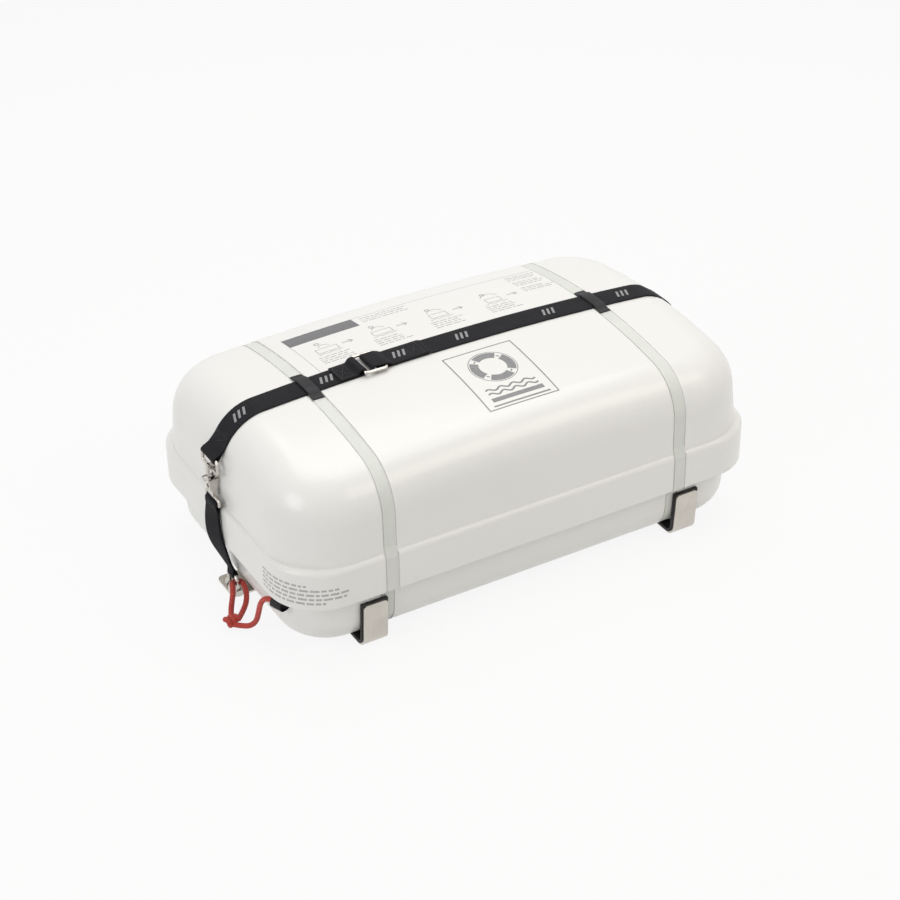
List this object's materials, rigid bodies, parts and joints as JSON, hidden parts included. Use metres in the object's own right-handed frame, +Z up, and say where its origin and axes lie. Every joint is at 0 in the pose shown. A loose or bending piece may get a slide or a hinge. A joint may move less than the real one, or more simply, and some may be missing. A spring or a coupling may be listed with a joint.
{
  "type": "liferaft canister",
  "caption": "Flat moulded liferaft canister with binding bands, on a stainless deck cradle with a webbing lashing, slip hook and painter.",
  "frame": {"origin": "centre of the four deck bolt holes, on the deck under the cradle strips", "axes": "+X along the canister's length, away from the slip hook; +Y across it, away from the painter gland's side; +Z up"},
  "size_m": [0.8205, 0.476, 0.3103],
  "materials": {
    "gelcoat_shell": "glossy moulded gelcoat",
    "gasket_rubber": "smooth",
    "burst_band": "woven strapping",
    "stainless_steel": "satin",
    "lining_rubber": "matt",
    "keeper_rubber": "ribbed",
    "black_webbing": "woven",
    "gland_rubber": "smooth",
    "red_cord": "laid",
    "raft_fabric": "coated fabric",
    "pack_fabric": "coated fabric",
    "pouch_fabric": "woven",
    "cylinder_paint": "gloss",
    "valve_brass": "machined"
  },
  "bodies": {
    "canister": {"upper_shell": "gelcoat_shell", "lower_shell": "gelcoat_shell", "shell_gasket": "gasket_rubber", "binding_band_left": "burst_band", "binding_band_right": "burst_band", "cradle_strip_left": "stainless_steel", "cradle_strip_right": "stainless_steel", "cradle_long_bar": "stainless_steel", "cradle_rivets": "stainless_steel", "rubber_lining_front_left": "lining_rubber", "rubber_lining_front_right": "lining_rubber", "rubber_lining_rear_left": "lining_rubber", "rubber_lining_rear_right": "lining_rubber", "lashing_keeper_left": "keeper_rubber", "lashing_keeper_right": "keeper_rubber", "shackle_bow": "stainless_steel", "shackle_pin": "stainless_steel", "anchor_pin": "stainless_steel", "joining_link": "stainless_steel", "lashing_end_link": "stainless_steel", "lashing_webbing_left": "black_webbing", "lashing_webbing_right": "black_webbing", "slip_body": "stainless_steel", "slip_hinge_pin": "stainless_steel", "lower_strop": "black_webbing", "painter_gland": "gland_rubber", "painter_knot": "red_cord", "painter_line": "red_cord", "painter_loop": "red_cord", "packed_raft": "raft_fabric", "emergency_pack": "pack_fabric", "painter_pouch": "pouch_fabric", "gas_cylinder": "cylinder_paint", "inflation_valve": "valve_brass"},
    "slip_tongue": {"slip_tongue": "stainless_steel"},
    "slip_ring": {"slip_ring": "stainless_steel"}
  },
  "joints": [
    {"name": "slip_tongue_hinge", "type": "hinge", "parent": "canister", "child": "slip_tongue", "pos_m": [-0.3945, 0, 0.188], "axis": [0, -1, 0], "range_deg": [0, 110]},
    {"name": "slip_ring_slide", "type": "slide", "parent": "canister", "child": "slip_ring", "axis": [0, 0, -1], "range_m": [0, 0.024]}
  ],
  "couplings": [
    {"joint": "slip_ring_slide", "follows": "slip_tongue_hinge", "m_per_rad": 0.0125}
  ]
}
